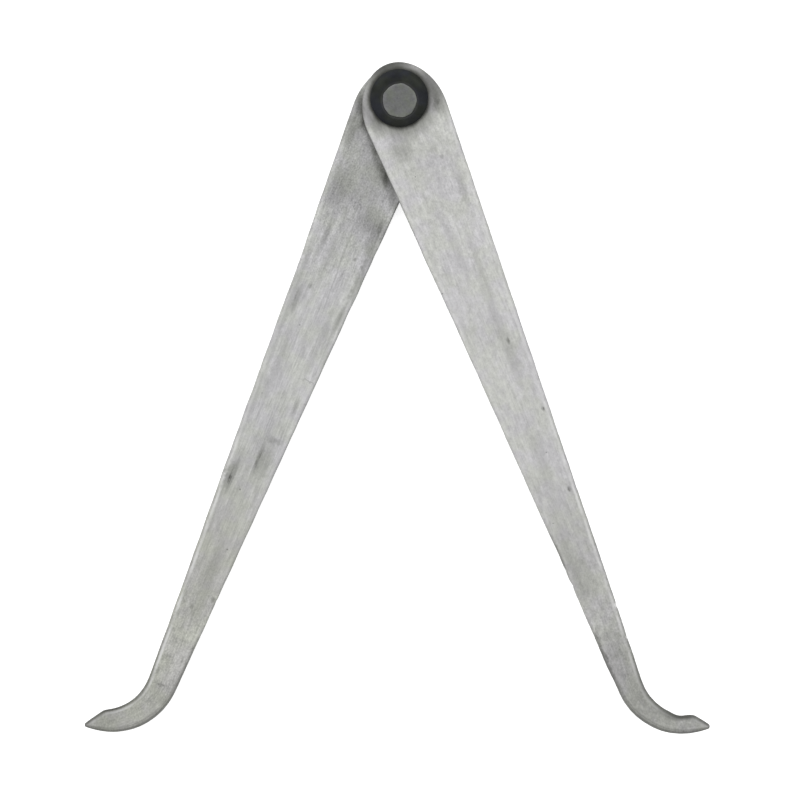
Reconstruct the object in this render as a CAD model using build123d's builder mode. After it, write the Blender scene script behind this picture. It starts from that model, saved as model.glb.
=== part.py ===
from build123d import *
from dataclasses import dataclass
from math import atan2, cos, degrees, radians, sin, tan
import os

# A firm-joint inside caliper: two flat tapered legs with toes turned outwards, held by one rivet between
# two blackened washers, with a thin fibre disc between the legs. Millimetres, +Z up.
# The caliper lies flat. The origin is on the joint axis, in the flat face of the rivet's rear end.
# +Y points from the toes to the joint, so the legs hang towards -Y and the front leg goes to +X.

# ---- joint, from the bench up ----
rivet_shank_radius = 3.0
rivet_end_radius = 3.65
rivet_end_proud = 0.2           # how far each formed end stands out of its washer
rivet_end_rounding = 0.15
countersink_depth = 0.65        # the rivet's ends are closed into countersinks of this depth
washer_radius = 6.2
washer_thickness = 1.5
washer_land = 0.55              # height of the washer's straight rim, below its bevel
washer_top_radius = 4.7         # where the bevel meets the washer's flat
leg_thickness = 2.2
disc_radius = 7.0
disc_thickness = 0.3
side_play = 0.04                # above and below the front leg, so that it can turn
pivot_play = 0.04               # between the front leg's bore and the rivet

rear_washer_z = rivet_end_proud
rear_leg_z = rear_washer_z + washer_thickness
disc_z = rear_leg_z + leg_thickness
front_leg_z = disc_z + disc_thickness + side_play
front_washer_z = front_leg_z + leg_thickness + side_play
joint_height = front_washer_z + washer_thickness + rivet_end_proud

# ---- legs ----
# Each leg is drawn in its own frame: u runs from the joint to the toe, v runs outwards, to the toe's side.
head_centre_u = 3.8             # the head is half an ellipse about this point
head_length = 11.7              # its half-length, along the leg
edge_rounding = 0.3             # the worn edges along both faces


@dataclass
class Leg:
    """The driving dimensions of one leg, in its own u, v frame, in millimetres and degrees."""

    swing: float                # angle of the leg from -Y, towards +X
    head_offset: float          # how far the head stands outwards of the joint axis
    head_half_width: float
    outer_taper: float          # slope of each edge of the blade against the leg's axis
    inner_taper: float
    outer_hollow: float         # how far each edge is dished in its middle
    inner_hollow: float
    toe_centre: tuple           # the rounded underside of the toe
    toe_radius: float
    throat_centre: tuple        # the hollow between the blade and the toe
    throat_radius: float
    nose_start: float           # angle on the throat's arc where the toe's slanted nose starts
    tip_end: float              # angle on the underside's arc where the nose meets it
    tip_rounding: float


rear = Leg(
    swing=-22.27, head_offset=-0.15, head_half_width=8.88,
    outer_taper=2.67, inner_taper=2.34, outer_hollow=0.2, inner_hollow=0.02,
    toe_centre=(135.2, 11.15), toe_radius=14.7, throat_centre=(135.7, 12.8), throat_radius=10.15,
    nose_start=-21.8, tip_end=3.1, tip_rounding=0.45,
)
front = Leg(
    swing=21.40, head_offset=0.05, head_half_width=9.0,
    outer_taper=2.72, inner_taper=2.74, outer_hollow=0.02, inner_hollow=0.15,
    toe_centre=(135.0, 12.0), toe_radius=14.6, throat_centre=(136.0, 12.4), throat_radius=9.75,
    nose_start=-12.5, tip_end=4.7, tip_rounding=0.55,
)


def leg_plane(leg, base_z, toe_to_the_right):
    """The plane of a leg's lower face, with x along the leg and y outwards."""
    along = Vector(sin(radians(leg.swing)), -cos(radians(leg.swing)), 0)
    if toe_to_the_right:
        return Plane(origin=(0, 0, base_z), x_dir=along, z_dir=(0, 0, 1))
    return Plane(origin=(0, 0, base_z + leg_thickness), x_dir=along, z_dir=(0, 0, -1))


def head_angle(taper, half_width):
    """The angle on the head's ellipse where its side has the slope of the blade's edge."""
    return degrees(atan2(half_width, head_length * tan(radians(taper))))


def draw_leg(leg):
    """The leg's outline, as a closed line: head, inner edge, underside of the toe, nose, throat, outer edge."""
    outer_end = head_angle(leg.outer_taper, leg.head_half_width)
    inner_end = 360 - head_angle(leg.inner_taper, leg.head_half_width)
    head = EllipticalCenterArc(
        (head_centre_u, leg.head_offset), head_length, leg.head_half_width,
        start_angle=outer_end, arc_size=inner_end - outer_end,
    )
    underside = CenterArc(
        leg.toe_centre, leg.toe_radius,
        start_angle=leg.inner_taper - 90, arc_size=leg.tip_end + 90 - leg.inner_taper,
    )
    throat = CenterArc(
        leg.throat_centre, leg.throat_radius,
        start_angle=-90 - leg.outer_taper, arc_size=leg.nose_start + 90 + leg.outer_taper,
    )
    Line(underside @ 1, throat @ 1)
    SagittaArc(head @ 1, underside @ 0, leg.inner_hollow)
    SagittaArc(head @ 0, throat @ 0, -leg.outer_hollow)


def make_leg(leg, base_z, toe_to_the_right, bore_radius):
    """One leg, cut from flat bar and bored for the rivet, with its edges worn round."""
    with BuildPart() as made:
        with BuildSketch(leg_plane(leg, base_z, toe_to_the_right)) as outline:
            with BuildLine():
                draw_leg(leg)
            make_face()
            tip = outline.vertices().sort_by(Axis.X)[-1]
            fillet(tip, leg.tip_rounding)
            Circle(bore_radius, mode=Mode.SUBTRACT)
        extrude(amount=leg_thickness)
        faces = made.faces().filter_by(Axis.Z)
        rims = [edge for face in faces for edge in face.outer_wire().edges()]
        fillet(rims, edge_rounding)
    return made


front_leg = make_leg(front, front_leg_z, True, rivet_shank_radius + pivot_play)
front_leg.part.label = "front_leg"

rear_leg = make_leg(rear, rear_leg_z, False, rivet_shank_radius)
rear_leg.part.label = "rear_leg"


def draw_washer():
    """Half the section of a washer, rim and bevel outside, with the countersink for the rivet's end inside."""
    Polyline(
        (rivet_shank_radius, 0), (washer_radius, 0), (washer_radius, washer_land),
        (washer_top_radius, washer_thickness), (rivet_end_radius, washer_thickness),
        (rivet_shank_radius, washer_thickness - countersink_depth), close=True,
    )


# Each washer's section is drawn with x outwards and y away from the leg.
with BuildPart() as front_washer:
    with BuildSketch(Plane(origin=(0, 0, front_washer_z), x_dir=(1, 0, 0), z_dir=(0, -1, 0))):
        with BuildLine():
            draw_washer()
        make_face()
    revolve(axis=Axis.Z)
front_washer.part.label = "front_washer"

with BuildPart() as rear_washer:
    with BuildSketch(Plane(origin=(0, 0, rear_leg_z), x_dir=(1, 0, 0), z_dir=(0, 1, 0))):
        with BuildLine():
            draw_washer()
        make_face()
    revolve(axis=Axis.Z)
rear_washer.part.label = "rear_washer"

# The rivet: a plain shank whose two ends are closed into the countersinks and dressed flat.
with BuildPart() as joint_rivet:
    with BuildSketch(Plane.XZ) as half_section:
        with BuildLine():
            Polyline(
                (0, 0), (rivet_end_radius, 0), (rivet_end_radius, rivet_end_proud),
                (rivet_shank_radius, rivet_end_proud + countersink_depth),
                (rivet_shank_radius, joint_height - rivet_end_proud - countersink_depth),
                (rivet_end_radius, joint_height - rivet_end_proud),
                (rivet_end_radius, joint_height), (0, joint_height), close=True,
            )
        make_face()
    revolve(axis=Axis.Z)
    end_rims = joint_rivet.edges().filter_by(GeomType.CIRCLE).sort_by(Axis.Z)
    fillet([end_rims[0], end_rims[-1]], rivet_end_rounding)
joint_rivet.part.label = "joint_rivet"

with BuildPart() as friction_disc:
    with BuildSketch(Plane.XY.offset(disc_z)):
        Circle(disc_radius)
        Circle(rivet_shank_radius, mode=Mode.SUBTRACT)
    extrude(amount=disc_thickness)
friction_disc.part.label = "friction_disc"

os.makedirs("parts", exist_ok=True)
export_step(front_leg.part, "parts/front_leg.step")
export_step(rear_leg.part, "parts/rear_leg.step")
export_step(front_washer.part, "parts/front_washer.step")
export_step(rear_washer.part, "parts/rear_washer.step")
export_step(joint_rivet.part, "parts/joint_rivet.step")
export_step(friction_disc.part, "parts/friction_disc.step")
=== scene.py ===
"""The looks of a firm-joint inside caliper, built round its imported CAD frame.

Two flat legs ground from bar lie one on the other on a riveted joint. Each leg is skinned as one closed
surface: rings that follow its outline, ruled faces on the blade, and rings about the bore on the head. The
washers, the rivet and the fibre disc are turned sections. All finishes are made of node patterns.
"""
from dataclasses import dataclass, field

import bpy
import numpy as np
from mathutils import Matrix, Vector


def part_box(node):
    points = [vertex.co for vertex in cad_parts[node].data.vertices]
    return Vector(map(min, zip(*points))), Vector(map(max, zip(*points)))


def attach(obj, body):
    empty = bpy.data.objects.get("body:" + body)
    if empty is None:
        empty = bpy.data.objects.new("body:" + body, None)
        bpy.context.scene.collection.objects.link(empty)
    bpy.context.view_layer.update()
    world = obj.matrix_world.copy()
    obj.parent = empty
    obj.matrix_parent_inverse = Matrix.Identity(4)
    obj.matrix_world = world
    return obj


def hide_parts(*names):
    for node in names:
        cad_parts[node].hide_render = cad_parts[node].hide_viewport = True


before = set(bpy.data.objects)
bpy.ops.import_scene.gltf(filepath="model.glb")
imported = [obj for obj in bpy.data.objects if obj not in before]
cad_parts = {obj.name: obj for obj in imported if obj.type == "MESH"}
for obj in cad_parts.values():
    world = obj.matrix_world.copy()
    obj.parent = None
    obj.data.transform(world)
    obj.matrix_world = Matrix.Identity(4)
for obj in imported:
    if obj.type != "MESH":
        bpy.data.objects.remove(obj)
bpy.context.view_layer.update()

MM = 0.001
chance = np.random.default_rng(150)

# ---------------- the legs, in millimetres and degrees

HEAD_CENTRE = 3.8  # the head is half an ellipse about this point of the leg's axis
HEAD_LENGTH = 11.55
HEAD_STEPS, BLADE_STEPS, THROAT_STEPS, NOSE_STEPS, TIP_STEPS = 44, 380, 44, 16, 8
FACE_STEPS = 26  # strips across each face
NECK_ROW = HEAD_STEPS + 10  # the row across the leg where the head's face meets the blade's
BORE_STEPS = 12  # rings from the head's edge in to the bore
FLAT_RADIUS, WAVY_RADIUS = 7.2, 11.0  # the faces are true round the joint, and wavy further out
ROUND_STEPS = 6  # rings over each worn edge
EDGE_ROUNDING = 0.32
TOE_ROUNDING = 0.75  # the underside of the toe, which touches the work, is dressed rounder
TIP_EDGE_ROUNDING = 0.2
WALL_BELLY = 0.05  # the sides of the bar stand out a little in their middle
EASING_PASSES = 60  # how often the sudden start of the throat is evened out
EASING_SPREAD = 6.0  # and over what length
EDGE_WAVE = 0.07  # how far the edges wander from true
WAVE_FROM, WAVE_FULL = 6.0, 12.0  # how far from the joint they start to, and do so fully


@dataclass
class Leg:
    """One leg's outline in its own frame: u from the joint to the toe, v outwards to the toe's side."""

    node: str
    swing: float  # angle of the leg from -Y, towards +X
    toe_side: int  # 1 where outwards is +X, -1 where it is -X
    head_offset: float
    head_half_width: float
    outer_taper: float
    inner_taper: float
    outer_hollow: float
    inner_hollow: float
    toe_centre: tuple
    toe_radius: float
    throat_centre: tuple
    throat_radius: float
    nose_start: float
    tip_end: float
    tip_rounding: float
    scoop: float  # width of the dark band of dirt and painted shadow in the throat
    bore: float  # radius of the hole for the rivet
    outer_marks: list = field(default_factory=list)  # (place along the leg, depth, half-length)
    inner_marks: list = field(default_factory=list)


rear_shape = Leg(
    node="rear_leg", swing=-22.27, toe_side=-1, head_offset=-0.22, head_half_width=8.88,
    outer_taper=2.67, inner_taper=2.34, outer_hollow=0.2, inner_hollow=0.02,
    toe_centre=(135.2, 11.08), toe_radius=14.75, throat_centre=(135.7, 12.75), throat_radius=10.15,
    nose_start=-21.8, tip_end=3.1, tip_rounding=0.45, scoop=0.45, bore=3.01,
    outer_marks=[(40, 0.2, 10), (86, -0.14, 26), (64.5, 0.06, 0.8)],
    inner_marks=[(33, 0.07, 1.2), (114.5, 0.09, 0.9), (76, 0.05, 1.5)],
)
front_shape = Leg(
    node="front_leg", swing=21.40, toe_side=1, head_offset=0.15, head_half_width=9.0,
    outer_taper=2.72, inner_taper=2.74, outer_hollow=0.02, inner_hollow=0.15,
    toe_centre=(135.0, 12.1), toe_radius=14.6, throat_centre=(136.0, 12.5), throat_radius=9.75,
    nose_start=-12.5, tip_end=4.7, tip_rounding=0.55, scoop=1.8, bore=3.04,
    outer_marks=[
        (110, -0.14, 30), (117.8, 0.1, 0.7), (125, 0.07, 0.5), (91, 0.05, 1), (144.4, 0.34, 1.1),
    ],
    inner_marks=[
        (103, 0.14, 5.5), (106.9, 0.12, 0.7), (110.6, 0.2, 0.8), (35, -0.12, 9), (128, -0.15, 7),
    ],
)


def arc(centre, radii, start, end, t):
    """Centre plus the radii times (cos, sin) of an angle that runs evenly from start to end."""
    angle = np.radians(start + (end - start) * t)
    return np.asarray(centre) + np.asarray(radii) * np.stack([np.cos(angle), np.sin(angle)], axis=-1)


def bowed_edge(start, end, hollow, t):
    """The straight line from start to end, its v moved by hollow times 4 t (1 - t)."""
    line = start + (end - start) * t[:, None]
    line[:, 1] += hollow * 4 * t * (1 - t)
    return line


def head_angle(taper, half_width):
    """The angle on the head's ellipse where its side slopes as the blade's edge does."""
    return np.degrees(np.arctan2(half_width, HEAD_LENGTH * np.tan(np.radians(taper))))


def leg_sides(leg):
    """The outline's outer and inner side, each from the head's end to the toe's tip, with equal counts.

    Head: a quarter of an ellipse. Blade: a line with a slight bow. Toe: the throat's arc and the straight
    nose on the outer side, the underside's arc on the inner. Tip: half each of a small arc that touches the
    nose's line and the underside's arc, so its centre is the tip radius from both.
    """
    radii = (HEAD_LENGTH, leg.head_half_width)
    head = (HEAD_CENTRE, leg.head_offset)
    toe = np.asarray(leg.toe_centre)
    nose_from = arc(leg.throat_centre, leg.throat_radius, leg.nose_start, leg.nose_start, np.zeros(1))[0]
    nose_to = arc(toe, leg.toe_radius, leg.tip_end, leg.tip_end, np.zeros(1))[0]
    along = (nose_to - nose_from) / np.linalg.norm(nose_to - nose_from)
    inwards = np.array([along[1], -along[0]])
    reach = nose_from + leg.tip_rounding * inwards - toe
    free_radius = leg.toe_radius - leg.tip_rounding
    slide = -reach @ along + np.sqrt((reach @ along) ** 2 - reach @ reach + free_radius ** 2)
    tip = toe + reach + slide * along
    nose_end = tip - leg.tip_rounding * inwards
    nose_angle = np.degrees(np.arctan2(-inwards[1], -inwards[0]))
    sweep_angle = np.degrees(np.arctan2(*(tip - toe)[::-1]))
    tip_angle = (nose_angle + sweep_angle) / 2

    t_head, t_blade, t_throat, t_nose, t_tip, t_sweep = (
        np.linspace(0, 1, steps + 1) for steps in
        (HEAD_STEPS, BLADE_STEPS, THROAT_STEPS, NOSE_STEPS, TIP_STEPS, THROAT_STEPS + NOSE_STEPS)
    )
    throat = arc(leg.throat_centre, leg.throat_radius, -90 - leg.outer_taper, leg.nose_start, t_throat)
    sweep = arc(toe, leg.toe_radius, leg.inner_taper - 90, sweep_angle, t_sweep)
    head_out = arc(head, radii, 180, head_angle(leg.outer_taper, leg.head_half_width), t_head)
    head_in = arc(head, radii, 180, 360 - head_angle(leg.inner_taper, leg.head_half_width), t_head)
    outer = np.concatenate([
        head_out,
        bowed_edge(head_out[-1], throat[0], -leg.outer_hollow, t_blade)[1:],
        throat[1:],
        (throat[-1] + (nose_end - throat[-1]) * t_nose[:, None])[1:],
        arc(tip, leg.tip_rounding, nose_angle, tip_angle, t_tip)[1:],
    ])
    inner = np.concatenate([
        head_in,
        bowed_edge(head_in[-1], sweep[0], leg.inner_hollow, t_blade)[1:],
        sweep[1:],
        arc(tip, leg.tip_rounding, sweep_angle, tip_angle, t_tip)[1:],
    ])
    return outer, inner


def eased(line, middle, spread):
    """The line with its points drawn to the mean of their neighbours, most where u is near middle."""
    share = np.exp(-((line[:, 0] - middle) / spread) ** 2)[:, None]
    for _ in range(EASING_PASSES):
        neighbours = (line[:-2] + line[2:]) / 2
        line[1:-1] += share[1:-1] * (neighbours - line[1:-1]) * 0.5
    return line


def edge_wave(length, amplitude):
    """A slow random line along an edge: six sines of 2 to 14 mm with random phases, faded at both ends."""
    waves = chance.uniform(2.0, 14.0, 6)
    phases = chance.uniform(0, 2 * np.pi, 6)
    line = np.sin(2 * np.pi * length[:, None] / waves + phases).mean(axis=1)
    ends = np.clip(length / 8, 0, 1) * np.clip((length[-1] - length) / 8, 0, 1)
    return amplitude * line * ends


def edge_dips(u, marks):
    """The sum of the marks, each depth / (1 + (distance / half-length) squared) squared."""
    dips = np.zeros_like(u)
    for place, depth, half_length in marks:
        dips += depth / (1 + ((u - place) / half_length) ** 2) ** 2
    return dips


def normals(loop):
    """The inward normal at each point: the difference of its two neighbours turned by a right angle."""
    step = np.roll(loop, -1, axis=0) - np.roll(loop, 1, axis=0)
    inwards = np.stack([step[:, 1], -step[:, 0]], axis=-1)
    return inwards / np.linalg.norm(inwards, axis=1, keepdims=True)


def leg_outline(leg):
    """The closed outline, its inward normals, and the count of points on one side.

    The outer side runs out to the tip and the inner side back. Past the head, each point is moved along its
    normal by the wave and the dips.
    """
    outer, inner = leg_sides(leg)
    outer = eased(outer, leg.throat_centre[0] + 1.0, EASING_SPREAD)
    count = len(outer)
    loop = np.concatenate([outer, inner[-2:0:-1]])
    length = np.concatenate([[0], np.linalg.norm(np.diff(loop, axis=0), axis=1).cumsum()])
    moved = edge_wave(length, EDGE_WAVE)
    moved[:count] += edge_dips(loop[:count, 0], leg.outer_marks)
    moved[count:] += edge_dips(loop[count:, 0], leg.inner_marks)
    past_head = np.clip((loop[:, 0] - WAVE_FROM) / (WAVE_FULL - WAVE_FROM), 0, 1)
    loop = loop + normals(loop) * (moved * past_head)[:, None]
    return loop, normals(loop), count


def worn_radius(leg, loop, count):
    """How far the edge's rounding reaches in: wide under the toe, narrow at its tip, even elsewhere."""
    angle = np.degrees(np.arctan2(loop[:, 1] - leg.toe_centre[1], loop[:, 0] - leg.toe_centre[0]))
    on_sweep = (np.arange(len(loop)) >= count) & (loop[:, 0] > leg.toe_centre[0] - 12)
    underside = np.interp(angle, [-120, -80, -55, -15, 3], [0, 0.5, 1, 0.75, 0]) * on_sweep
    reach = EDGE_ROUNDING + (TOE_ROUNDING - EDGE_ROUNDING) * underside
    tip_distance = np.linalg.norm(loop - loop[count - 1], axis=1)
    return TIP_EDGE_ROUNDING + (reach - TIP_EDGE_ROUNDING) * np.clip(tip_distance / 2.5, 0, 1)


def grinding_wave(u, v):
    """Slight waves from hand grinding: three long sines of a few hundredths, fading to 0 at the joint."""
    wave = 0.012 * np.sin(u / 9.0 + v / 14.0) + 0.008 * np.sin(u / 4.1 - v / 6.0 + 1.3)
    wave += 0.006 * np.sin(v / 1.7 + 0.4)
    return wave * np.clip((np.hypot(u, v) - FLAT_RADIUS) / (WAVY_RADIUS - FLAT_RADIUS), 0, 1)


def ring_quads(first, second):
    """Quads between two closed rings of vertex numbers."""
    return np.stack([first, np.roll(first, -1), np.roll(second, -1), second], axis=-1)


def edge_profile(reach, half):
    """How far in and how high each ring stands, from the lower face's rim up to the upper face's.

    Over a worn edge, ring k stands reach (1 - cos k) in and depth (1 - sin k) below the face: a quarter of
    an ellipse. Half way up the wall, one ring stands out by its belly.
    """
    depth = np.minimum(reach * 0.8, half * 0.8)
    quarter = np.linspace(0, np.pi / 2, ROUND_STEPS + 1)[:, None]
    inset = reach * (1 - np.cos(quarter))
    height = half - depth * (1 - np.sin(quarter))
    belly = np.full((1, len(reach)), -WALL_BELLY)
    return (np.concatenate([inset[::-1], belly, inset]),
            np.concatenate([-height[::-1], np.zeros_like(belly), height]))


class Rows:
    """The rows across a leg, one from each point of the outer side to the point across from it."""

    def __init__(self, loop, count, reach):
        self.across = np.r_[0, np.arange(len(loop) - 1, count - 2, -1)]
        self.middle = (loop[:count] + loop[self.across]) / 2
        self.half_width = np.linalg.norm(loop[:count] - loop[self.across], axis=1) / 2
        self.length = np.r_[0, np.linalg.norm(np.diff(self.middle, axis=0), axis=1).cumsum()]
        self.length += self.middle[BLADE_STEPS // 2, 0] - self.length[BLADE_STEPS // 2]
        self.reach = reach[:count]


class Skin:
    """A growing mesh: points, each with its distance in from the edge and its sweep, and faces."""

    def __init__(self):
        self.points, self.distance, self.sweep = np.empty((0, 3)), np.empty(0), np.empty((0, 3))
        self.quads, self.triangles = [], []

    def add(self, points, distance, sweep):
        """Takes a grid of points and what each is told, and returns the grid of their numbers."""
        number = len(self.points) + np.arange(distance.size).reshape(distance.shape)
        self.points = np.concatenate([self.points, points.reshape(-1, 3)])
        self.distance = np.append(self.distance, distance)
        self.sweep = np.concatenate([self.sweep, sweep.reshape(-1, 3)])
        return number


def blade_face(skin, rim, rows):
    """A ruled face from the neck to the tip: each row is the straight line between two points of the rim.

    Returns the neck row's numbers, the quads, and the fan of triangles that closes the face at the tip.
    """
    count = len(rows.across)
    blade = slice(NECK_ROW, count - 1)
    start, end = skin.points[rim[:count]], skin.points[rim[rows.across]]
    share = np.linspace(0, 1, FACE_STEPS + 1)[1:-1]
    inside = start[blade, None] * (1 - share)[:, None] + end[blade, None] * share[:, None]
    width = np.linalg.norm(end - start, axis=1)[blade, None]
    part = (rows.half_width - rows.reach)[blade, None] * (1 - 2 * share)
    along = np.broadcast_to(rows.length[blade, None], part.shape)
    grid = np.empty((count - NECK_ROW, FACE_STEPS + 1), int)
    grid[:-1, 1:-1] = skin.add(
        inside,
        rows.reach[blade, None] + width * np.minimum(share, 1 - share),
        np.stack([along, part, inside[..., 2]], axis=-1),
    )
    grid[:, 0], grid[:, -1] = rim[NECK_ROW:count], rim[rows.across[NECK_ROW:]]
    grid[-1] = rim[count - 1]
    quads = np.stack([grid[:-2, :-1], grid[:-2, 1:], grid[1:-1, 1:], grid[1:-1, :-1]], axis=-1)
    fan = np.stack([grid[-1, :-1], grid[-2, :-1], grid[-2, 1:]], axis=-1)
    return grid[0], quads.reshape(-1, 4), fan


def head_face(skin, rim, neck, bore, rows):
    """Rings that close in evenly from the head's edge to the bore, along straight lines to the joint axis.

    Returns the numbers of the ring at the bore, and the quads.
    """
    edge = np.concatenate([rim[NECK_ROW:0:-1], rim[rows.across[:NECK_ROW + 1]], neck[-2:0:-1]])
    edge_at, edge_sweep = skin.points[edge], skin.sweep[edge]
    facing = edge_at[:, :2] / np.linalg.norm(edge_at[:, :2], axis=1, keepdims=True)
    bore_at = np.column_stack([bore * facing, edge_at[:, 2]])
    middle = rows.middle[:NECK_ROW]
    bore_sweep = np.column_stack([
        np.interp(bore_at[:, 0], middle[:, 0], rows.length[:NECK_ROW]),
        bore_at[:, 1] - np.interp(bore_at[:, 0], middle[:, 0], middle[:, 1]),
        bore_at[:, 2],
    ])
    share = (np.arange(1, BORE_STEPS + 1) / BORE_STEPS)[:, None, None]
    number = skin.add(
        edge_at + (bore_at - edge_at) * share,
        skin.distance[edge] + np.linalg.norm(bore_at - edge_at, axis=1) * share[..., 0],
        edge_sweep + (bore_sweep - edge_sweep) * share,
    )
    rings = np.concatenate([edge[None], number])
    return rings[-1], np.concatenate([ring_quads(rings[k], rings[k + 1]) for k in range(BORE_STEPS)])


def leg_skin(leg):
    """The leg's closed surface, in its own frame in millimetres.

    Rings of the outline's count climb from the lower face to the upper. On both, a ruled face closes the
    blade, down to one point at the toe's tip, and rings close the head in to the bore, whose wall joins the
    two. Each point is told its distance in from the edge, and its sweep, its place as if the toe were
    straight: the length of the middle line up to its row, and half the row's width less the way in.
    """
    loop, inwards, count = leg_outline(leg)
    lowest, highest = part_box(leg.node)
    half = (highest.z - lowest.z) / MM / 2
    reach = worn_radius(leg, loop, count)
    inset, height = edge_profile(reach, half)
    plan = loop[None] + inwards[None] * inset[..., None]
    rows = Rows(loop, count, reach)
    row = np.r_[np.arange(count), np.arange(count - 2, 0, -1)]
    side = np.r_[np.ones(count), -np.ones(len(loop) - count)]
    along = np.broadcast_to(rows.length[row], inset.shape)
    skin = Skin()
    number = skin.add(
        np.concatenate([plan, height[..., None]], axis=-1),
        np.clip(inset, 0, None),
        np.stack([along, side * (rows.half_width[row] - inset), height], axis=-1),
    )
    skin.quads += [ring_quads(number[k + 1], number[k]) for k in range(len(number) - 1)]
    bore_rings = []
    for rim, turn in ((number[-1], 1), (number[0], -1)):
        neck, blade, fan = blade_face(skin, rim, rows)
        bore_ring, head = head_face(skin, rim, neck, leg.bore, rows)
        skin.quads += [blade[:, ::turn], head[:, ::turn]]
        skin.triangles.append(fan[:, ::turn])
        bore_rings.append(bore_ring)
    skin.quads.append(ring_quads(*bore_rings))
    skin.points[:, 2] *= 1 + grinding_wave(skin.points[:, 0], skin.points[:, 1]) / half
    return skin


# ---------------- meshes

def make_mesh(name, points, quads, triangles=(), **attributes):
    """A mesh object at the origin; each attribute holds a number or a vector for every point."""
    mesh = bpy.data.meshes.new(name)
    faces = np.asarray(quads).tolist() + np.asarray(triangles).tolist()
    mesh.from_pydata(points.tolist(), [], faces)
    for title, values in attributes.items():
        kind, held = ("FLOAT_VECTOR", "vector") if np.ndim(values) == 2 else ("FLOAT", "value")
        layer = mesh.attributes.new(title, kind, "POINT")
        layer.data.foreach_set(held, np.ascontiguousarray(values, dtype=np.float32).ravel())
    mesh.shade_smooth()
    mesh.update()
    piece = bpy.data.objects.new(name, mesh)
    bpy.context.scene.collection.objects.link(piece)
    return piece


def lay_in_place(leg, points):
    """Turns a leg's own u, v, w into the frame: along the leg, outwards, and out of its show face."""
    swing = np.radians(leg.swing)
    along = np.array([np.sin(swing), -np.cos(swing), 0])
    outwards = leg.toe_side * np.array([np.cos(swing), np.sin(swing), 0])
    show = np.cross(along, outwards)
    lowest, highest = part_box(leg.node)
    middle = np.array([0, 0, (lowest.z + highest.z) / 2])
    return middle + MM * (points @ np.stack([along, outwards, show]))


def build_leg(leg, name, finish):
    """A leg's skin in its place; its sweep's third part is turned to point upwards on both legs."""
    skin = leg_skin(leg)
    piece = make_mesh(
        name, lay_in_place(leg, skin.points), np.concatenate(skin.quads), np.concatenate(skin.triangles),
        from_edge=skin.distance * MM, sweep=skin.sweep * [1, 1, leg.toe_side] * MM,
    )
    piece.data.materials.append(finish)
    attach(piece, leg.node)
    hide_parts(leg.node)


# ---------------- turned pieces

RIVET_SHANK = 3.0
COUNTERSINK = 0.65
SEAT_GAP = 0.01  # between the rivet's end and the washer's countersink
SHOULDER_FROM = 0.735  # where a washer's flat gives way to its shoulder, a share of its radius
DISC_ROUNDING = 0.1
OFF_CENTRE = (0.10, -0.60)  # the rivet's show end, and the countersink it fills, sit off the joint axis


def show_end_shift(points):
    """How far each point of a turned piece moves in x and y with the rivet's off-centre show end.

    The whole move is OFF_CENTRE plus a radial wave of three sines of the angle. Its share is 1 on the
    rivet's end and at the washer's seat, and falls to 0 at the shoulder and at the countersink's foot.
    """
    seat = node_size("joint_rivet")[0] + 0.08
    washer_radius, _, face = node_size("front_washer")
    shoulder = SHOULDER_FROM * washer_radius
    radius = np.hypot(points[:, 0], points[:, 1])
    angle = np.arctan2(points[:, 1], points[:, 0])
    wave = 0.045 * np.sin(5 * angle + 0.5) + 0.030 * np.sin(9 * angle + 2.0)
    wave += 0.020 * np.sin(14 * angle + 1.0)
    wave *= np.clip(radius / seat, 0, 1) ** 2
    share = np.clip((shoulder - radius) / (shoulder - seat), 0, 1)
    share *= np.clip((points[:, 2] - face) / COUNTERSINK + 1, 0, 1)
    move = np.array(OFF_CENTRE) + wave[:, None] * np.stack([np.cos(angle), np.sin(angle)], axis=-1)
    return share[:, None] * move


def rounded(corner, radius, start, end, steps=5):
    """A corner of a section, as a quarter circle about a point radius in from both sides."""
    return arc(corner, radius, start, end, np.linspace(0, 1, steps + 1))


def turned(name, section, closed, steps=120, lift=None, **marks):
    """A section of (radius, height) turned about the joint axis, in millimetres above the bench.

    Point (i, j) is the section's point i at angle j: (r cos, r sin, h). A section that is not closed starts
    and ends on the axis, with one point at each end. lift adds a height to each point, then the show end
    moves off the axis. marks hold a number per section point and are carried round.
    """
    turn = np.linspace(0, 2 * np.pi, steps, endpoint=False)
    body = section if closed else section[1:-1]
    radius, height = body[:, :1], body[:, 1:]
    points = np.stack(
        [radius * np.cos(turn), radius * np.sin(turn), np.broadcast_to(height, (len(body), steps))], axis=-1
    ).reshape(-1, 3)
    number = np.arange(len(body) * steps).reshape(len(body), steps)
    pairs = zip(number, np.roll(number, -1, axis=0)) if closed else zip(number[:-1], number[1:])
    quads = np.concatenate([ring_quads(low, high) for low, high in pairs])
    triangles = np.empty((0, 3), int)
    values = {title: np.repeat(row if closed else row[1:-1], steps) for title, row in marks.items()}
    if not closed:
        poles = len(points) + np.arange(2)
        points = np.concatenate([points, [[0, 0, section[0, 1]], [0, 0, section[-1, 1]]]])
        first, last = number[0], number[-1]
        triangles = np.concatenate([
            np.stack([np.full(steps, poles[0]), np.roll(first, -1), first], axis=-1),
            np.stack([np.full(steps, poles[1]), last, np.roll(last, -1)], axis=-1),
        ])
        values = {title: np.append(row, marks[title][[0, -1]]) for title, row in values.items()}
    if lift is not None:
        points[:, 2] += lift(points)
    points[:, :2] += show_end_shift(points)
    return make_mesh(name, points * MM, quads, triangles, **values)


def node_size(node):
    """A round node's radius and its lowest and highest height, in millimetres."""
    lowest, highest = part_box(node)
    return (highest.x - lowest.x) / 2 / MM, lowest.z / MM, highest.z / MM


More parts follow.
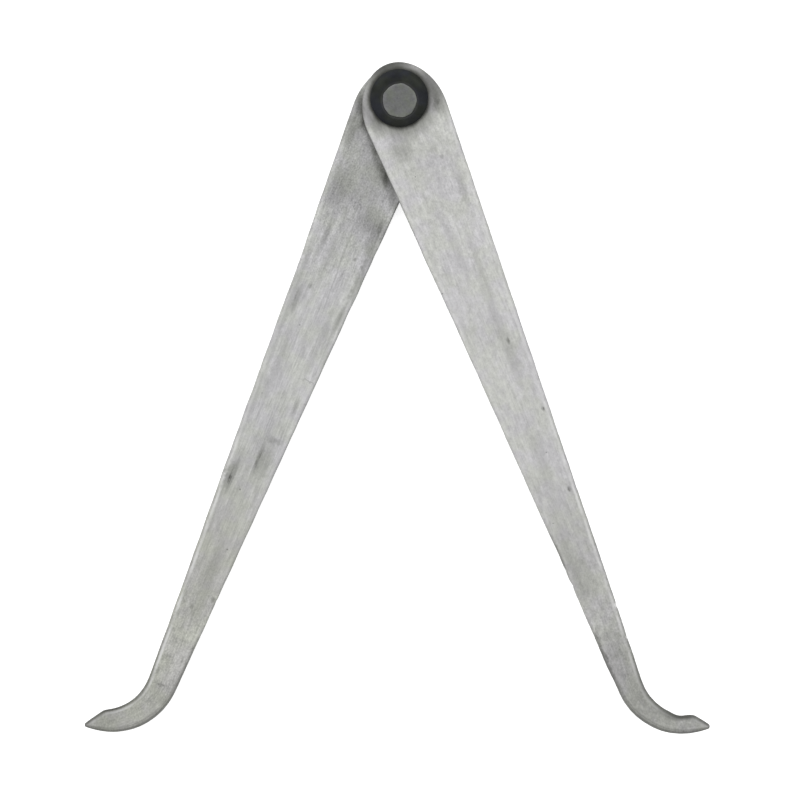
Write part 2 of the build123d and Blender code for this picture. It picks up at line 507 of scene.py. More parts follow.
def washer_section(radius, base, top, bore, seat):
    """A washer's closed section and how worn each point is: under face, rim, shoulder, flat, countersink.

    The shoulder is a quarter of an ellipse from the rim's land to the flat. base and top are the heights of
    the face on the leg and of the show face, so the same section serves both ways up.
    """
    up = np.sign(top - base)
    thickness = abs(top - base)
    land, flat_from = 0.36 * thickness, SHOULDER_FROM * radius
    quarter = np.linspace(0, np.pi / 2, 15)
    shoulder = np.stack([
        flat_from + (radius - flat_from) * np.cos(quarter),
        land + (thickness - land) * np.sin(quarter),
    ], axis=-1)
    section = np.concatenate([
        [[bore, 0.02], [bore + 0.4, 0], [radius - 0.6, 0]],
        rounded((radius - 0.12, 0.12), 0.12, -90, 0),
        shoulder,
        [[(flat_from + seat) / 2, thickness]],
        rounded((seat + 0.07, thickness - 0.06), 0.06, 90, 180),
        [[bore, thickness - 0.66]],
    ])
    worn = np.zeros(len(section))
    worn[4:11] = [0.2, 0.4, 0.6, 0.6, 0.5, 0.3, 0.1]  # over the rim and the start of the shoulder
    section[:, 1] = base + up * section[:, 1]
    if up < 0:
        section, worn = section[::-1], worn[::-1]
    return section, worn


def washer_dents(points):
    """Three shallow waves round a washer, outside its seat: 0.015 sin(3 angle + 0.7)."""
    x, y, _ = points.T
    outside = np.hypot(x, y) > node_size("joint_rivet")[0] + SEAT_GAP + 0.3
    return 0.015 * np.sin(3 * np.arctan2(y, x) + 0.7) * outside


def build_washer(node, finish, faces_up):
    """The washer in that node's place, its show face up or down."""
    radius, low, high = node_size(node)
    base, top = (low, high) if faces_up else (high, low)
    section, worn = washer_section(radius, base, top, RIVET_SHANK, node_size("joint_rivet")[0] + SEAT_GAP)
    piece = turned(node + "_turned", section, closed=True, lift=washer_dents, worn=worn)
    piece.data.materials.append(finish)
    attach(piece, "rear_leg")
    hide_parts(node)


def rivet_section():
    """The rivet's section, from the middle of one end to the other's, and how worn each point is."""
    radius, low, high = node_size("joint_rivet")
    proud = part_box("rear_washer")[0].z / MM
    rim = 0.12
    rings = np.linspace(0, radius - rim, 13)
    end = np.concatenate([
        np.stack([rings, np.zeros_like(rings)], axis=-1),
        rounded((radius - rim, rim), rim, -90, 0)[1:],
        [[radius, proud], [RIVET_SHANK, proud + COUNTERSINK]],
    ])
    front = end[::-1] * [1, -1] + [0, high]
    worn_end = np.interp(end[:, 0], [radius - 0.9, radius - 0.3, radius], [0, 0.5, 1])
    section = np.concatenate([end + [0, low], front])
    return section, np.concatenate([worn_end, worn_end[::-1]])


def dressed_dimples(points):
    """Shallow marks of dressing: two crossing sines on the flats at both ends, fading at their rims."""
    x, y, z = points.T
    low, high = z.min(), z.max()
    side = np.where(z > (low + high) / 2, -1.0, 1.0)
    on_end = (z < low + 0.05) | (z > high - 0.05)
    marks = 0.5 + 0.25 * np.sin(2.3 * x + 1.1 * y + 0.6) + 0.25 * np.sin(1.2 * x - 2.9 * y + 2.0)
    fade = np.clip(1 - np.hypot(x, y) / 3.5, 0, 1) ** 0.5
    return side * on_end * fade * 0.03 * marks


def build_rivet(finish):
    """The rivet through everything, its two ends dressed."""
    section, worn = rivet_section()
    piece = turned("joint_rivet_dressed", section, closed=False, lift=dressed_dimples, worn=worn)
    piece.data.materials.append(finish)
    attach(piece, "rear_leg")
    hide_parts("joint_rivet")


def build_disc(finish):
    """The friction disc between the legs, its outer edge rounded."""
    radius, low, high = node_size("friction_disc")
    inner = radius - DISC_ROUNDING
    section = np.concatenate([
        [[RIVET_SHANK, low], [inner, low]],
        rounded((inner, low + DISC_ROUNDING), DISC_ROUNDING, -90, 0),
        rounded((inner, high - DISC_ROUNDING), DISC_ROUNDING, 0, 90),
        [[RIVET_SHANK, high]],
    ])
    piece = turned("friction_disc_fibre", section, closed=True)
    piece.data.materials.append(finish)
    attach(piece, "rear_leg")
    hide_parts("friction_disc")


# ---------------- node helpers

def tree_of(*values):
    """The node tree of the first socket among some sockets and plain values."""
    return next(value.id_data for value in values if isinstance(value, bpy.types.NodeSocket))


def fill(socket, value):
    """Links a socket to another node's output, or sets it to a plain value."""
    if isinstance(value, bpy.types.NodeSocket):
        socket.id_data.links.new(value, socket)
    else:
        socket.default_value = value


def put(tree, kind, inputs=(), **settings):
    """A new node with its settings and its named inputs."""
    node = tree.nodes.new("ShaderNode" + kind)
    for title, value in settings.items():
        setattr(node, title, value)
    for title, value in dict(inputs).items():
        fill(node.inputs[title], value)
    return node


def calc(operation, *values, clamp=False):
    """One sum of numbers, as a Math node's output."""
    node = put(tree_of(*values), "Math", operation=operation, use_clamp=clamp)
    for socket, value in zip(node.inputs, values):
        fill(socket, value)
    return node.outputs[0]


def times(first, second):
    return calc("MULTIPLY", first, second)


def weighted(start, *parts):
    """start plus each pattern times its weight."""
    for pattern, weight in parts:
        start = calc("MULTIPLY_ADD", pattern, weight, start)
    return start


def covered(total, layer, clamp=False):
    """A layer laid over a total: what the one leaves clean, the other may dirty."""
    clean = calc("SUBTRACT", 1.0, total) if isinstance(total, bpy.types.NodeSocket) else 1.0 - total
    return calc("MULTIPLY_ADD", layer, clean, total, clamp=clamp)


def ramp(value, low, high, start=0.0, end=1.0):
    """start below low, end above high, and a smooth step between them."""
    inputs = {"Value": value, "From Min": low, "From Max": high, "To Min": start, "To Max": end}
    return put(tree_of(value), "MapRange", inputs, interpolation_type="SMOOTHSTEP").outputs["Result"]


def mix(share, first, second, method="MIX"):
    """A mix of two colours."""
    node = put(tree_of(share, first, second), "Mix", data_type="RGBA", blend_type=method)
    fill(node.inputs[0], share)
    fill(node.inputs[6], first)
    fill(node.inputs[7], second)
    return node.outputs[2]


def vector(operation, first, second):
    """One sum of vectors; a plain triple may stand for either."""
    node = put(tree_of(first, second), "VectorMath", operation=operation)
    fill(node.inputs[0], first)
    fill(node.inputs[1], second)
    return node.outputs["Value" if operation in ("LENGTH", "DOT_PRODUCT") else "Vector"]


def triple(x, y, z):
    return put(tree_of(x, y, z), "CombineXYZ", {"X": x, "Y": y, "Z": z}).outputs["Vector"]


def noise(place, scale=1.0, detail=2.0, roughness=0.5):
    """Noise between 0 and 1 about a half."""
    inputs = {"Vector": place, "Scale": scale, "Detail": detail, "Roughness": roughness}
    return put(tree_of(place), "TexNoise", inputs).outputs["Fac"]


def in_steps(place, step):
    """A place counted in steps of that length."""
    return vector("DIVIDE", place, triple(step, step, step))


def drawn_out(place, width, drag):
    """A place counted in widths, with its first part shortened so that a pattern is drawn out along it."""
    across = calc("DIVIDE", 1.0, width)
    return vector("MULTIPLY", place, triple(calc("DIVIDE", across, drag), across, across))


def from_axis(place):
    """The distance from the joint axis."""
    return vector("LENGTH", vector("MULTIPLY", place, (1, 1, 0)), (0, 0, 0))


def ragged(place, grain, push):
    """A place pushed about by noise, so that what is drawn there gets a ragged edge."""
    inputs = {"Vector": vector("DIVIDE", place, (grain, grain, grain)), "Scale": 1.0, "Detail": 3.0}
    colour = put(tree_of(place), "TexNoise", inputs).outputs["Color"]
    centred = vector("SUBTRACT", colour, (0.5, 0.5, 0.5))
    return vector("ADD", place, vector("MULTIPLY", centred, (push, push, push)))


KINDS = {type(None): "NodeSocketVector", float: "NodeSocketFloat", tuple: "NodeSocketColor"}


def effect(title, inputs, *results, kind=float):
    """A new shader node group. Each input has its first value: none for a place, a number or a colour."""
    tree = bpy.data.node_groups.new(title, "ShaderNodeTree")
    for name, value in inputs.items():
        socket = tree.interface.new_socket(name=name, in_out="INPUT", socket_type=KINDS[type(value)])
        if value is not None:
            socket.default_value = value
    for name in results:
        tree.interface.new_socket(name=name, in_out="OUTPUT", socket_type=KINDS[kind])
    return tree, tree.nodes.new("NodeGroupInput").outputs, tree.nodes.new("NodeGroupOutput").inputs


def use(group, **inputs):
    """Places a shared effect; underscores in a name stand for spaces."""
    node = put(tree_of(*inputs.values()), "Group", node_tree=group)
    for title, value in inputs.items():
        fill(node.inputs[title.replace("_", " ")], value)
    return node.outputs


# ---------------- shared effects

def make_grinding_lines():
    """Lines left by a belt: noise squeezed across the grain and drawn out along it."""
    tree, given, result = effect(
        "grinding lines", {"Place": None, "Line width": 0.0003, "Drag": 30.0}, "Lines")
    place = drawn_out(given["Place"], given["Line width"], given["Drag"])
    fill(result["Lines"], noise(place, 1.0, 4.0, 0.6))
    return tree


def make_mottle():
    """Soft uneven patches, drawn out a little along the grain."""
    tree, given, result = effect(
        "mottle", {"Place": None, "Patch size": 0.006, "Drag": 1.6, "Offset": 0.0}, "Patches")
    place = drawn_out(given["Place"], given["Patch size"], given["Drag"])
    place = vector("ADD", place, triple(given["Offset"], given["Offset"], 0.0))
    fill(result["Patches"], noise(place, 1.0, 3.0, 0.55))
    return tree


def make_stain_patch():
    """One stain: 1 in the middle of an ellipse in the leg's plane, falling softly to 0 past its edge."""
    tree, given, result = effect(
        "stain patch",
        {"Place": None, "Along": 0.0, "Across": 0.0, "Half length": MM, "Half width": MM, "Slant": 0.0},
        "Mask",
    )
    parts = put(tree, "SeparateXYZ", {"Vector": given["Place"]}).outputs
    along = calc("SUBTRACT", parts["X"], given["Along"])
    across = calc("SUBTRACT", parts["Y"], given["Across"])
    across = calc("SUBTRACT", across, times(along, given["Slant"]))
    along = calc("DIVIDE", along, given["Half length"])
    across = calc("DIVIDE", across, given["Half width"])
    distance = calc("SQRT", calc("ADD", calc("POWER", along, 2.0), calc("POWER", across, 2.0)))
    fill(result["Mask"], ramp(distance, 0.25, 1.35, 1.0, 0.0))
    return tree


def make_pits():
    """Small round pits: a few cells of a random grid, each dark within a fraction of its size."""
    tree, given, result = effect(
        "pits", {"Place": None, "Spacing": 0.002, "Amount": 0.3, "Size": 0.15}, "Mask")
    place = in_steps(given["Place"], given["Spacing"])
    cells = put(tree, "TexVoronoi", {"Vector": place, "Scale": 1.0}).outputs
    lot = put(tree, "SeparateColor", {"Color": cells["Color"]}).outputs
    chosen = calc("LESS_THAN", lot["Red"], given["Amount"])
    size = times(given["Size"], calc("ADD", lot["Green"], 0.4))
    dot = ramp(calc("DIVIDE", cells["Distance"], size), 0.5, 1.1, 1.0, 0.0)
    fill(result["Mask"], times(dot, chosen))
    return tree


def make_scratches():
    """Thin straight scratches at one angle: crests of a long drawn out noise, kept in patches."""
    tree, given, result = effect(
        "scratches", {"Place": None, "Angle": 0.2, "Width": 0.0002, "Length": 0.02, "Amount": 0.3}, "Mask")
    turn = {"Vector": given["Place"], "Angle": given["Angle"]}
    place = put(tree, "VectorRotate", turn, rotation_type="Z_AXIS").outputs["Vector"]
    long = calc("DIVIDE", 1.0, given["Length"])
    place = vector("MULTIPLY", place, triple(long, calc("DIVIDE", 1.0, given["Width"]), long))
    crest = ramp(noise(place, 1.0, 1.0, 0.4), 0.70, 0.76)
    where = noise(given["Place"], 160.0, 1.0, 0.5)
    kept = ramp(where, calc("SUBTRACT", 0.75, given["Amount"]), 0.8)
    fill(result["Mask"], times(crest, kept))
    return tree


def make_tint_drift():
    """A colour that drifts between a warm olive and a cool violet, as thin oil and handling leave it."""
    tree, given, result = effect(
        "tint drift",
        {"Place": None, "Patch size": 0.004, "Olive": (1, 1, 0.95, 1), "Violet": (1, 0.98, 1.02, 1)},
        "Tint", kind=tuple,
    )
    share = ramp(noise(in_steps(given["Place"], given["Patch size"])), 0.35, 0.65)
    fill(result["Tint"], mix(share, given["Olive"], given["Violet"]))
    return tree


def make_edge_wear_and_shade():
    """Bands along an edge, from the distance to it: a dark line of painted shade over the rounding, and a
    rubbed line just inside.
    """
    tree, given, result = effect(
        "edge wear and shade",
        {"Place": None, "Distance": 0.0, "Dirty to": 0.0002, "Rubbed to": 0.0006},
        "Edge shade", "Rubbed",
    )
    fray = times(calc("SUBTRACT", noise(given["Place"], 900.0, 3.0, 0.6), 0.5), 0.0004)
    distance = calc("ADD", given["Distance"], fray)
    edge_shade_to, rubbed_to = given["Dirty to"], given["Rubbed to"]
    fill(result["Edge shade"], ramp(distance, times(edge_shade_to, 0.3), edge_shade_to, 1.0, 0.0))
    inside = ramp(distance, edge_shade_to, times(edge_shade_to, 1.6))
    outside = ramp(distance, times(rubbed_to, 0.6), rubbed_to, 1.0, 0.0)
    broken = ramp(noise(given["Place"], 260.0), 0.22, 0.62, 0.15, 1.0)
    fill(result["Rubbed"], times(times(inside, outside), broken))
    return tree


grinding_lines = make_grinding_lines()
mottle = make_mottle()
stain_patch = make_stain_patch()
pits = make_pits()
scratches = make_scratches()
tint_drift = make_tint_drift()
edge_wear_and_shade = make_edge_wear_and_shade()


def clouds(place, size, drag=1.0, offset=0.0):
    return use(mottle, Place=place, Patch_size=size, Drag=drag, Offset=offset)["Patches"]


def scratched(place, angle, width, length, amount):
    return use(scratches, Place=place, Angle=angle, Width=width, Length=length, Amount=amount)["Mask"]


# ---------------- finishes

BUMP_DEPTH = 0.03 * MM
# one dark colour for grime and for the painted shadow and shade
GRIME_AND_SHADE = (0.085, 0.087, 0.076, 1)
# bare steel, for rubbed edges and nicks, and also to paint the bar's sides lighter
BARE_AND_LIT = (0.88, 0.88, 0.87, 1)


def new_finish(title, **sockets):
    """A material with one Principled shader, its plain numbers and colours set on the shader itself."""
    material = bpy.data.materials.new(title)
    material.use_nodes = True
    shader = material.node_tree.nodes["Principled BSDF"]
    for name, value in sockets.items():
        shader.inputs[name.replace("_", " ")].default_value = value
    return material, material.node_tree, shader.inputs


def own_place(tree, turn=0.0, scale=(1, 1, 1)):
    """The piece's own coordinates, scaled, then turned about the joint axis."""
    inputs = {"Vector": put(tree, "TexCoord").outputs["Object"], "Rotation": (0, 0, turn), "Scale": scale}
    return put(tree, "Mapping", inputs, vector_type="POINT").outputs["Vector"]


def told(tree, name):
    """What the mesh tells of each point under that name."""
    return put(tree, "Attribute", attribute_name=name).outputs


def toned(colour, light):
    """A colour made lighter or darker."""
    return mix(1.0, colour, triple(light, light, light), "MULTIPLY")


def bumped(shader, height, strength):
    """Feeds a pattern of heights to the shader's normal."""
    bump = put(tree_of(height), "Bump", {"Strength": strength, "Distance": BUMP_DEPTH, "Height": height})
    fill(shader["Normal"], bump.outputs["Normal"])


def stains_over(places, marks):
    """Several stains laid over each other. Thin ones take the second of the two places, less ragged."""
    total = 0.0
    for along, across, half_length, half_width, strength, slant in marks:
        mask = use(stain_patch, Place=places[half_width < 0.75], Along=along * MM, Across=across * MM,
                   Half_length=half_length * MM, Half_width=half_width * MM, Slant=slant)["Mask"]
        total = covered(total, times(mask, strength))
    return total


# Stains and shades in the leg's own frame: (along, across, half-length, half-width, strength, slant), in
# millimetres.
# The marks are ragged and streaky stains, and the nicks bright, where the steel is freshly bared. The
# shades are soft:
# grime and painted shade round the joint, painted shadow on the rear leg where the front leg lies over it,
# and painted shade that darkens the toes.
REAR_MARKS = [
    (26.7, -4.6, 3.2, 3, 0.3, 0), (29.5, -6.6, 5.5, 1.4, 0.34, 0.05), (38, -6.9, 8, 0.9, 0.34, 0.05),
    (48.5, -6, 3.4, 0.7, 0.3, 0.04), (69.5, -4.5, 2, 0.5, 0.28, 0), (32.8, 3.4, 4, 0.7, 0.3, 0),
    (48, 4.1, 3.6, 0.7, 0.32, -0.02), (44.3, 2.5, 0.6, 0.5, 0.34, 0), (22.5, 5, 5.5, 3.2, 0.28, 0),
    (35.5, -4.2, 0.5, 0.45, 0.32, 0), (63.5, -4.8, 0.28, 1.9, 0.22, 0), (78, -3, 0.9, 1.8, 0.26, 0),
    (82.6, -1.35, 4.2, 0.6, 0.46, -0.03), (87.8, 2.5, 4.6, 0.6, 0.42, 0), (83, -2.8, 4.5, 1.4, 0.26, 0),
    (88, 3.3, 5, 0.9, 0.2, 0), (110, -1, 10, 1.6, 0.18, 0), (117.5, -0.1, 0.6, 0.55, 0.34, 0),
    (135.5, -0.3, 0.4, 1.6, 0.36, 0), (40, -1.8, 16, 0.2, 0.15, -0.045), (114.5, -3.8, 0.7, 0.45, 0.5, 0),
    (45, 5.4, 16, 0.9, 0.18, -0.03), (53, -4, 10, 0.8, 0.13, 0.03), (88.2, 3.4, 3, 1, 0.2, 0),
    (62, 2.6, 12, 0.9, 0.12, -0.03), (72, 4.4, 9, 0.7, 0.14, -0.03), (37, 1.2, 9, 0.8, 0.13, 0),
]
REAR_SHADES = [
    (12, 0, 14, 11, 0.26, 0), (25, -1, 12, 7, 0.16, 0), (8, 7, 5.5, 3, 0.36, 0),
    (11.4, 0.9, 15, 1.8, 0.5, -0.85), (141, 0.5, 8, 4.5, 0.16, 0), (147, 9, 5.5, 6.5, 0.3, 0),
    (106, 0, 22, 6, 0.08, 0),
]
FRONT_MARKS = [
    (10.6, -3.7, 2.8, 2.9, 0.26, 0), (37.8, 3, 9, 0.9, 0.16, 0), (56.8, 2.75, 0.8, 0.45, 0.36, 0),
    (15, 3.9, 0.55, 0.5, 0.34, 0), (91, 3.4, 0.7, 0.5, 0.55, 0), (73, 4.4, 0.6, 0.4, 0.5, 0),
    (108, -1.9, 10, 1.6, 0.16, 0.02), (54, 2.2, 14, 1.5, 0.18, 0), (111, 0.4, 6, 1, 0.12, 0),
    (126, -3, 8, 0.8, 0.42, 0.03), (103, -3.9, 5.5, 0.55, 0.46, 0.03), (34, -0.5, 10, 1.1, 0.12, 0.05),
    (84, 0, 8, 1.5, 0.12, 0), (23, 5.5, 6, 0.9, 0.18, -0.05), (4, 7, 1.8, 0.8, 0.35, -0.3),
]
FRONT_SHADES = [
    (-8.6, 0.5, 3.4, 11, 0.84, 0), (-0.5, 8, 6.5, 2.4, 0.52, -0.05), (-1, -8.2, 5, 1, 0.25, 0.05),
    (15, 0, 12, 9, 0.1, 0), (130, 0, 9, 4, 0.28, 0), (141, 2, 8, 5, 0.33, 0), (148, 9, 5.5, 6.5, 0.26, 0),
    (3.5, -6.6, 2.6, 1.5, 0.3, 0), (5.5, 8.2, 4, 1.6, 0.16, 0), (108, 0, 20, 6, 0.1, 0),
]
REAR_NICKS = [
    (130.5, 2.2, 5, 0.3, 0.4, -0.03),
]
FRONT_NICKS = [
    (106.9, -3.8, 0.5, 0.25, 1, 0), (117.8, 3.5, 0.6, 0.3, 1, 0), (125, 3.2, 0.45, 0.22, 0.8, 0),
]


@dataclass
class Wear:
    """How one leg has aged and is shaded: its stains, its soft shades of grime and painted shade, and how
    strong its lines and blotches are.
    """

    marks: list
    shades: list
    nicks: list
    joint_steel: tuple  # colour near the joint
    toe_steel: tuple  # colour near the toe, a little yellower
    line_depth: float
    blotching: float  # how unevenly the soft shades cover


rear_wear = Wear(
    REAR_MARKS, REAR_SHADES, REAR_NICKS, joint_steel=(0.540, 0.545, 0.539, 1),
    toe_steel=(0.528, 0.533, 0.502, 1), line_depth=0.95, blotching=1.0,
)
front_wear = Wear(
    FRONT_MARKS, FRONT_SHADES, FRONT_NICKS, joint_steel=(0.600, 0.603, 0.597, 1),
    toe_steel=(0.563, 0.566, 0.553, 1), line_depth=0.60, blotching=0.22,
)


def leg_steel(title, leg, wear):
    """Ground steel, dulled and stained, with lines along the leg, grime and painted shade at the joint and
    toes, painted edge shade, lighter painted sides and worn edges.
    """
    material, tree, shader = new_finish(title, Metallic=1.0)
    side = leg.toe_side
    place = own_place(tree, side * np.radians(90 - leg.swing), (1, side, side))
    distance = told(tree, "from_edge")["Fac"]
    sweep = told(tree, "sweep")["Vector"]
    swept = put(tree, "SeparateXYZ", {"Vector": sweep}).outputs
    along, outwards, upwards = swept["X"], swept["Y"], swept["Z"]

    broad = use(grinding_lines, Place=sweep, Line_width=0.0010, Drag=14.0)["Lines"]
    fine = use(grinding_lines, Place=sweep, Line_width=0.00034, Drag=16.0)["Lines"]
    hair = use(grinding_lines, Place=sweep, Line_width=0.00013, Drag=26.0)["Lines"]
    patches = clouds(place, 0.0055, 1.8)
    blotches = clouds(place, 0.0024, 1.4, 13.0)
    small = clouds(place, 0.0011, 1.5, 7.0)
    grains = clouds(place, 0.00035, 1.2, 4.0)
    pocks = use(pits, Place=place, Spacing=0.0021, Amount=0.22, Size=0.085)["Mask"]
    along_scratch = scratched(sweep, angle=0.05, width=0.00016, length=0.009, amount=0.35)
    cross_scratch = scratched(place, angle=0.9, width=0.00016, length=0.005, amount=0.14)
    edges = use(edge_wear_and_shade, Place=place, Distance=distance, Dirty_to=0.00034, Rubbed_to=0.0012)

    # the stains; on the under face the marks lie elsewhere, and there are no nicks
    underneath = calc("LESS_THAN", upwards, -0.0005)
    marked = vector("ADD", place, triple(times(underneath, 0.037), 0.0, 0.0))
    soft = ragged(place, 0.0030, 0.0012)
    dirt_and_shade = stains_over((ragged(marked, 0.0011, 0.0022), ragged(marked, 0.0006, 0.0005)), wear.marks)
    dirt_and_shade = times(dirt_and_shade, times(ramp(fine, 0.25, 0.72, 0.5, 1.5), ramp(small, 0.3, 0.7, 0.75, 1.25)))
    shine = times(stains_over((place, place), wear.nicks), ramp(upwards, 0.0005, 0.0009))
    # the soft shades: grime, painted shadow and painted shade, from the lists above
    shade = stains_over((soft, soft), wear.shades)
    for pattern, unevenness in ((blotches, 0.26 * wear.blotching), (small, 0.20 * wear.blotching)):
        shade = times(shade, ramp(pattern, 0.3, 0.7, 1 - unevenness, 1 + unevenness))

    # grime and painted shadow round the washer, painted shade on the toe's rounded edges, dirt and painted
    # shadow in its throat, and painted shade along the edges
    # grime round the washer, with a narrow ring of painted shadow close round its edge
    from_joint = from_axis(soft)
    wide_halo = ramp(from_joint, 0.0062, 0.0106, 0.50, 0.0)
    washer_grime_and_shadow = calc("ADD", wide_halo, ramp(from_joint, 0.0061, 0.0072, 0.44, 0.0))
    # painted shade over the toe's rounded edges, as if they faced away from the light
    toe_edge_shade = times(ramp(distance, 0.0002, 0.0010, 0.5, 0.0), ramp(along, 0.118, 0.136))
    # dirt and painted shadow in the toe's throat, along its edge
    throat_dirt_and_shadow = ramp(distance, leg.scoop * 0.3 * MM, leg.scoop * MM, 0.70, 0.0)
    throat_dirt_and_shadow = times(throat_dirt_and_shadow, ramp(along, 0.139, 0.148))
    throat_dirt_and_shadow = times(throat_dirt_and_shadow, ramp(outwards, 0.0, 0.0006))
    throat_dirt_and_shadow = times(throat_dirt_and_shadow, ramp(along, 0.1494, 0.1522, 1.0, 0.25))
    outer_side = ramp(outwards, -0.001, 0.001)
    # painted shade over the edges' rounding: light on all edges, stronger on the outer side towards the toe
    edge_shade_amount = calc("MULTIPLY_ADD", outer_side, ramp(along, 0.060, 0.100, 0.0, 0.18), 0.06)
    for layer in (shade, washer_grime_and_shadow, toe_edge_shade, throat_dirt_and_shadow, times(pocks, 0.5), times(edges["Edge shade"], edge_shade_amount)):
        dirt_and_shade = covered(dirt_and_shade, layer, clamp=True)

    # light and dark in the steel itself, more of it at both worn ends of the leg
    lines = [(broad, 0.34), (fine, 0.56), (hair, 0.45)]
    weights = [(pattern, weight * wear.line_depth) for pattern, weight in lines]
    weights += [(patches, 0.20), (small, 0.46), (grains, 0.42)]
    light = weighted(1.0, *((calc("SUBTRACT", pattern, 0.5), weight) for pattern, weight in weights))
    worn_joint = ramp(along, 0.022, 0.050, wear.blotching, 0.0)
    worn_ends = calc("MAXIMUM", worn_joint, ramp(along, 0.095, 0.130, 0.0, 0.7))
    for pattern, weight in ((blotches, 0.36), (small, 0.50), (grains, 0.75)):
        light = weighted(light, (times(calc("SUBTRACT", pattern, 0.5), worn_ends), weight))
    light = weighted(light, (along_scratch, -0.12), (cross_scratch, 0.10))

    tint = use(tint_drift, Place=place, Patch_size=0.0045, Olive=(1.0, 1.006, 0.965, 1),
               Violet=(1.0, 0.985, 1.014, 1))["Tint"]
    steel = mix(ramp(along, 0.075, 0.110), wear.joint_steel, wear.toe_steel)
    colour = toned(mix(1.0, steel, tint, "MULTIPLY"), light)
    on_outside = ramp(along, 0.060, 0.100, 0.28, 0.66)
    on_inside = ramp(along, 0.060, 0.100, 0.14, 0.05)
    rubbed_side = calc("MULTIPLY_ADD", outer_side, calc("SUBTRACT", on_outside, on_inside), on_inside)
    colour = mix(times(edges["Rubbed"], rubbed_side), colour, BARE_AND_LIT)
    # painted light: the bar's sides are made lighter, towards bare steel, as if lit
    lit_side_wall = ramp(calc("ABSOLUTE", upwards), 0.00080, 0.00105, 0.30, 0.0)
    colour = mix(lit_side_wall, colour, BARE_AND_LIT)
    # grime, painted shadow and painted shade all darken towards this one colour
    colour = mix(dirt_and_shade, colour, GRIME_AND_SHADE)
    fill(shader["Base Color"], mix(shine, colour, BARE_AND_LIT))
    fill(shader["Roughness"], weighted(0.30, (patches, 0.16), (fine, 0.10), (dirt_and_shade, 0.22), (shine, -0.12)))
    height = weighted(times(fine, 0.5), (hair, 0.25), (broad, 0.6), (pocks, -0.9))
    bumped(shader, weighted(height, (along_scratch, -0.25), (cross_scratch, -0.35)), strength=0.5)
    return material


def blackened_steel():
    """Blued-black washer steel: faint turning rings, dust, and rubbed lines on its shoulder and seat."""
    material, tree, shader = new_finish("blackened steel", Metallic=0.85)
    place = own_place(tree)
    rings = noise(triple(times(from_axis(place), 9000.0), 0.0, 0.0), 1.0, 2.0, 0.6)
    patches = clouds(place, 0.0022, 1.0, 3.0)
    grains = clouds(place, 0.00035, 1.0, 5.0)
    scuffs = scratched(place, angle=0.7, width=0.00018, length=0.005, amount=0.3)
    tint = use(tint_drift, Place=place, Patch_size=0.003, Olive=(0.028, 0.031, 0.026, 1),
               Violet=(0.025, 0.027, 0.033, 1))["Tint"]
    colour = toned(tint, weighted(0.10, (patches, 1.3), (grains, 0.5)))
    rubbed = times(told(tree, "worn")["Fac"], ramp(patches, 0.42, 0.62, 0.05, 0.5))
    rubbed = calc("MAXIMUM", rubbed, times(scuffs, 0.2))
    from_seat = from_axis(vector("SUBTRACT", place, (OFF_CENTRE[0] * MM, OFF_CENTRE[1] * MM, 0)))
    rubbed = calc("MAXIMUM", rubbed, ramp(from_seat, 0.0036, 0.0043, 0.22, 0.0))
    fill(shader["Base Color"], mix(rubbed, colour, (0.16, 0.16, 0.16, 1)))
    fill(shader["Roughness"], weighted(0.42, (grains, 0.25), (rubbed, -0.1)))
    bumped(shader, weighted(times(rings, 0.35), (grains, 0.8)), strength=0.6)
    return material


def rivet_steel():
    """The rivet's bare ends: dull grey-green, mottled, with fine scratches and a rubbed rim."""
    material, tree, shader = new_finish("rivet steel", Metallic=1.0)
    place = own_place(tree)
    patches = clouds(place, 0.0016, 1.0, 11.0)
    grains = clouds(place, 0.0004, 1.0, 2.0)
    file_marks = scratched(place, angle=-0.6, width=0.00014, length=0.004, amount=0.45)
    cross_marks = scratched(place, angle=0.8, width=0.00016, length=0.003, amount=0.3)
    tint = use(tint_drift, Place=place, Patch_size=0.0022, Olive=(0.163, 0.172, 0.153, 1),
               Violet=(0.163, 0.165, 0.169, 1))["Tint"]
    light = weighted(0.55, (patches, 0.40), (grains, 0.5), (file_marks, 0.3), (cross_marks, -0.2))
    colour = toned(tint, light)
    rubbed = times(told(tree, "worn")["Fac"], ramp(patches, 0.4, 0.6, 0.02, 0.16))
    fill(shader["Base Color"], mix(rubbed, colour, (0.4, 0.4, 0.39, 1)))
    fill(shader["Roughness"], weighted(0.32, (patches, 0.2)))
    bumped(shader, weighted(times(file_marks, -0.4), (grains, 0.5), (cross_marks, -0.4)), strength=0.6)
    return material


def disc_fibre():
    """Red-brown vulcanised fibre with lighter strands."""
    material, tree, shader = new_finish("vulcanised fibre", Metallic=0.0)
    place = own_place(tree)
    fibres = use(grinding_lines, Place=place, Line_width=0.00015, Drag=8.0)["Lines"]
    colour = mix(clouds(place, 0.0015), (0.05, 0.022, 0.012, 1), (0.13, 0.055, 0.03, 1))
    fill(shader["Base Color"], mix(ramp(fibres, 0.5, 0.7, 0.0, 0.3), colour, (0.2, 0.1, 0.06, 1)))
    fill(shader["Roughness"], weighted(0.55, (fibres, 0.2)))
    bumped(shader, fibres, strength=0.5)
    return material


def bench_paper():
    """Matt white paper with a barely seen tooth, and a little glow that only the camera sees."""
    material, tree, shader = new_finish("white paper", Roughness=0.9, Emission_Color=(1, 1, 1, 1))
    tooth = noise(own_place(tree), 1500.0, 3.0, 0.6)
    fill(shader["Base Color"], mix(tooth, (0.88, 0.88, 0.88, 1), (0.92, 0.92, 0.92, 1)))
    fill(shader["Emission Strength"], times(put(tree, "LightPath").outputs["Is Camera Ray"], 0.7))
    return material


# ---------------- the caliper

build_leg(front_shape, "front_leg_ground", leg_steel("front leg steel", front_shape, front_wear))
build_leg(rear_shape, "rear_leg_ground", leg_steel("rear leg steel", rear_shape, rear_wear))
black = blackened_steel()
build_washer("front_washer", black, faces_up=True)
build_washer("rear_washer", black, faces_up=False)
build_rivet(rivet_steel())
build_disc(disc_fibre())


# ---------------- bench, light and camera, in metres

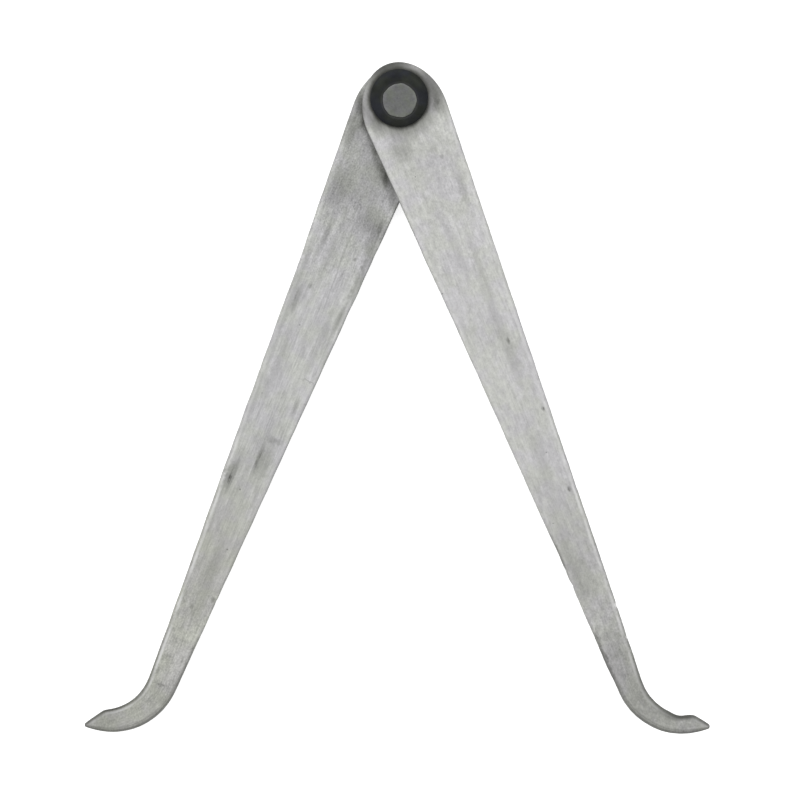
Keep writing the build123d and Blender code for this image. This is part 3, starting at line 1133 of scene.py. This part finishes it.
BENCH = 3.0  # half the bench top's side
WINDOW = (-0.10, 0.48, 0.62)  # the softbox's place
WINDOW_SIZE, WINDOW_POWER = 0.9, 1.3
WINDOW_SIDE = (-0.5, 0.75, 0.0)
DIM_SIDE = 0.60  # the room's brightness away from the window
FIELD_WIDTH = 171.4 * MM
LENS, SENSOR = 200.0, 36.0  # in millimetres
AIM = (0.28 * MM, -64.5 * MM)

corners = np.array([[-BENCH, -BENCH, 0], [BENCH, -BENCH, 0], [BENCH, BENCH, 0], [-BENCH, BENCH, 0]])
floor = make_mesh("bench_top", corners, [[0, 1, 2, 3]])
floor.data.materials.append(bench_paper())


def softbox(name, place, aim, size, power):
    """A square area light of that size, turned so that its -Z points at aim."""
    light = bpy.data.objects.new(name, bpy.data.lights.new(name, "AREA"))
    bpy.context.scene.collection.objects.link(light)
    light.data.size, light.data.energy = size, power
    light.location = place
    light.rotation_euler = (Vector(aim) - Vector(place)).to_track_quat("-Z", "Y").to_euler()


def white_room():
    """A world that is plain white to the camera, and to all else dimmer away from the window."""
    world = bpy.data.worlds.new("studio")
    bpy.context.scene.world = world
    world.use_nodes = True
    tree = world.node_tree
    direction = put(tree, "TexCoord").outputs["Generated"]
    glow = ramp(vector("DOT_PRODUCT", direction, WINDOW_SIDE), -0.8, 0.7, DIM_SIDE, 1.0)
    background = tree.nodes["Background"].inputs
    fill(background["Strength"], covered(glow, put(tree, "LightPath").outputs["Is Camera Ray"]))
    background["Color"].default_value = (1, 1, 1, 1)


softbox("window_softbox", WINDOW, (0, -0.06, 0), WINDOW_SIZE, WINDOW_POWER)
white_room()

focal_plane = (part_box("front_leg")[1].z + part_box("rear_leg")[1].z) / 2
camera = bpy.data.objects.new("camera", bpy.data.cameras.new("camera"))
bpy.context.scene.collection.objects.link(camera)
camera.data.lens, camera.data.sensor_width = LENS, SENSOR
camera.location = (*AIM, focal_plane + FIELD_WIDTH * LENS / SENSOR)
bpy.context.scene.camera = camera
bpy.context.scene.view_settings.view_transform = "Standard"
